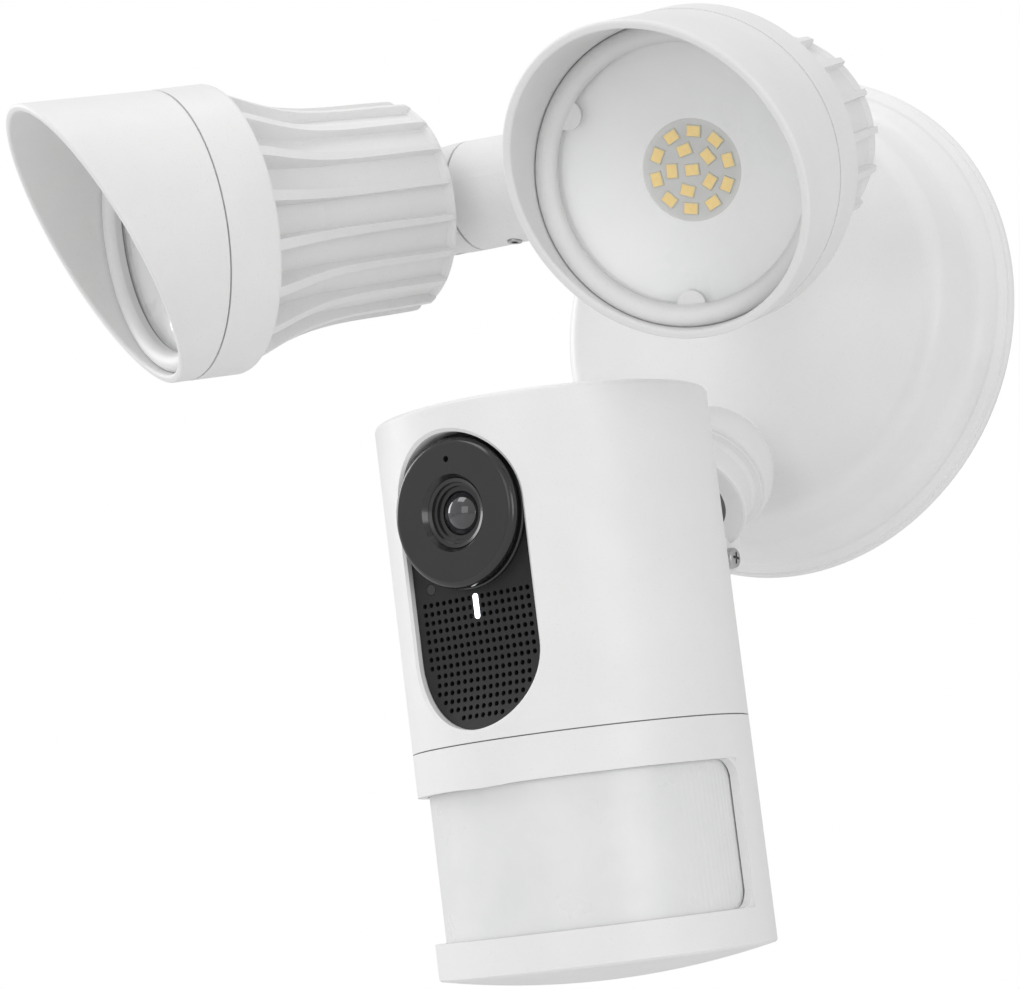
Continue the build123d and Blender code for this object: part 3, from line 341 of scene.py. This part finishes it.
def motion_window():
    """The milky window: flutes moulded into its face, deeper towards its two ends."""
    right, front, up = body_axes()
    sweep = math.acos(-PIR_BACK / PIR_R)
    top, low = PIR_DEPTHS
    rows = []
    build = bmesh.new()
    for step in range(PIR_STEPS + 1):
        turn = -sweep + 2 * sweep * step / PIR_STEPS
        out = right * math.sin(turn) + front * math.cos(turn)
        ends = (abs(math.degrees(turn)) - FLUTE_END_TURN) / FLUTE_END_BLEND
        ends = min(1.0, max(0.0, ends))
        flute = 0.5 - 0.5 * math.cos(turn * PIR_R / FLUTE_PITCH * 2 * math.pi)
        sunk = flute * (FLUTE_DEPTH + FLUTE_END_DEPTH * ends)
        rows.append([
            build.verts.new(BODY_TOP + out * radius - up * depth)
            for radius, depth in (
                (PIR_R - PIR_BEVEL, top), (PIR_R, top + PIR_BEVEL),
                (PIR_R - sunk, top + PIR_RIM), (PIR_R - sunk, low - PIR_RIM),
                (PIR_R, low - PIR_BEVEL), (PIR_R - PIR_BEVEL, low),
                (PIR_R - PIR_WALL, low), (PIR_R - PIR_WALL, top),
            )
        ])
    join_rings(build, rows)
    build.faces.new(rows[0])
    build.faces.new(list(reversed(rows[-1])))
    piece = new_piece("motion_window", build, "camera", MATERIALS["pir_white"],
                      smooth=50.0)
    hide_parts("pir_lens")


def window_corners():
    """Small webs that round the window's four rear corners, which the CAD shell has square."""
    right, front, up = body_axes()
    top, low = WINDOW_DEPTHS
    for side, end in ((-1, "left"), (1, "right")):
        for depth, into, level in ((top, 1, "top"), (low, -1, "low")):
            outline = [(WINDOW_BACK, depth)]
            for step in range(CORNER_STEPS + 1):
                turn = math.pi / 2 * step / CORNER_STEPS
                outline.append((WINDOW_BACK + CORNER_R * (1 - math.sin(turn)),
                                depth + into * CORNER_R * (1 - math.cos(turn))))
            build = bmesh.new()
            skins = []
            for radius in (BODY_R - CORNER_WALL, BODY_R):
                skins.append([
                    build.verts.new(BODY_TOP + front * ahead - up * down
                                    + right * (side * math.sqrt(radius ** 2 - ahead ** 2)))
                    for ahead, down in outline
                ])
            inner, outer = skins
            for i in range(1, len(outline) - 1):
                for skin in skins:
                    build.faces.new((skin[0], skin[i], skin[i + 1]))
            for i in range(len(outline)):
                j = (i + 1) % len(outline)
                build.faces.new((inner[i], inner[j], outer[j], outer[i]))
            new_piece("window_corner_" + end + "_" + level, build, "camera",
                      MATERIALS["white_plastic"], smooth=40.0)


def chip_frames(node):
    """Centre, the two long edges and the thin edge of each box-shaped chip of a CAD node."""
    build = bmesh.new()
    build.from_mesh(NODES[node].data)
    bmesh.ops.remove_doubles(build, verts=build.verts, dist=1e-6)
    left = set(build.verts)
    found = []
    while left:
        todo, chip = [min(left, key=lambda v: v.index)], []
        while todo:
            vert = todo.pop()
            if vert in left:
                left.discard(vert)
                chip.append(vert)
                todo += [edge.other_vert(vert) for edge in vert.link_edges]
        centre = sum((v.co for v in chip), Vector()) / len(chip)
        corner = chip[0].co
        others = sorted((v.co - corner for v in chip[1:]), key=lambda d: d.length)
        thin = others[0]
        flat = [d for d in others[1:] if abs(d.normalized().dot(thin.normalized())) < 0.02]
        flat.sort(key=lambda d: d.length)
        found.append((centre, flat[0], flat[1], thin))
    build.free()
    return found


def led_chips(side, beam):
    """Pale packages with a yellow phosphor pad sunk in each one."""
    frames, pads = bmesh.new(), bmesh.new()
    wall, sink, edge = CHIP_WALL, CHIP_SINK, CHIP_BEVEL
    node = side + "_led_chips"
    for centre, first, second, thin in chip_frames(node):
        a, b, h = first.length / 2, second.length / 2, thin.length / 2
        u, v = first.normalized(), second.normalized()
        n = thin.normalized()
        if n.dot(beam) < 0:
            n = -n

        def rect(build, x, y, z):
            return [build.verts.new(centre + u * (i * x) + v * (j * y) + n * z)
                    for i, j in ((-1, -1), (1, -1), (1, 1), (-1, 1))]

        levels = [
            rect(frames, a, b, -h),
            rect(frames, a, b, h - edge),
            rect(frames, a - edge, b - edge, h),
            rect(frames, a - wall, b - wall, h),
            rect(frames, a - wall - sink, b - wall - sink, h - sink),
        ]
        join_rings(frames, levels)
        frames.faces.new(levels[0])
        frames.faces.new(levels[-1])
        x, y = a - wall - PAD_GAP, b - wall - PAD_GAP
        steps = [
            rect(pads, x, y, h - 2 * sink),
            rect(pads, x, y, h - 0.6 * sink),
            rect(pads, x * 0.8, y * 0.8, h - 0.25 * sink),
        ]
        join_rings(pads, steps)
        pads.faces.new(steps[0])
        pads.faces.new(steps[-1])
    body = side + "_lamp"
    packages = new_piece(side + "_led_packages", frames, body,
                         MATERIALS["led_package"])
    new_piece(side + "_led_pads", pads, body, MATERIALS["led_phosphor"])
    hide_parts(node)


# ------------------------------------------------------------------ stage
AMBIENT = 0.68             # world light on the object
BACKDROP = 1.0             # what the camera sees behind it
FLOOR_LEVEL = -0.42        # metres, clear of the object at every pose
FLOOR_HALF = 6.0           # half of the floor's side
AIM = (0.0, -0.1, 0.0)     # where the lights point
LIGHTS = (                 # name, place, size, power
    ("left", (-1.7, -0.35, 0.5), 0.9, 10.0),
    ("key", (-0.4, -1.1, 1.35), 0.9, 5.5),
    ("right", (1.6, -0.9, 0.0), 0.8, 5.0),
    ("top", (-0.2, 0.1, 1.7), 0.9, 4.0),
    ("front", (0.2, -1.75, 0.1), 0.8, 2.0),
)


def area_light(name, place, size, power):
    data = bpy.data.lights.new(name, "AREA")
    data.energy = power
    data.size = size
    lamp = bpy.data.objects.new(name, data)
    lamp.location = place
    lamp.rotation_euler = (Vector(AIM) - Vector(place)).to_track_quat("-Z", "Y").to_euler()
    SCENE.collection.objects.link(lamp)


def add_floor():
    mesh = bpy.data.meshes.new("floor")
    build = bmesh.new()
    bmesh.ops.create_grid(build, x_segments=8, y_segments=8, size=FLOOR_HALF)
    build.to_mesh(mesh)
    build.free()
    floor = bpy.data.objects.new("floor", mesh)
    floor.location = (0.0, 0.0, FLOOR_LEVEL)
    SCENE.collection.objects.link(floor)
    shader = clouded("floor_paint", (0.66, 0.66, 0.66), (0.63, 0.63, 0.63), (0.7, 0.8),
                     cloud=2.0, Emission_Strength=0.08, Emission_Color=WHITE)
    mesh.materials.append(shader.material)


def add_world():
    """White light all round, with a brighter white behind the object for the camera."""
    world = bpy.data.worlds.new("studio")
    world.use_nodes = True
    nodes, links = world.node_tree.nodes, world.node_tree.links
    sky = nodes["Background"]
    behind = nodes.new("ShaderNodeBackground")
    for background, strength in ((sky, AMBIENT), (behind, BACKDROP)):
        background.inputs["Color"].default_value = WHITE
        background.inputs["Strength"].default_value = strength
    path = nodes.new("ShaderNodeLightPath")
    blend = nodes.new("ShaderNodeMixShader")
    links.new(path.outputs["Is Camera Ray"], blend.inputs["Fac"])
    links.new(sky.outputs["Background"], blend.inputs[1])
    links.new(behind.outputs["Background"], blend.inputs[2])
    links.new(blend.outputs["Shader"], nodes["World Output"].inputs["Surface"])
    SCENE.world = world


def add_stage():
    add_floor()
    add_world()
    SCENE.view_settings.view_transform = "Standard"
    for light in LIGHTS:
        area_light(*light)


add_camera()
MATERIALS = make_materials()
dress(MATERIALS)
motion_window()
window_corners()
led_chips("left", LEFT_BEAM)
led_chips("right", RIGHT_BEAM)
add_stage()
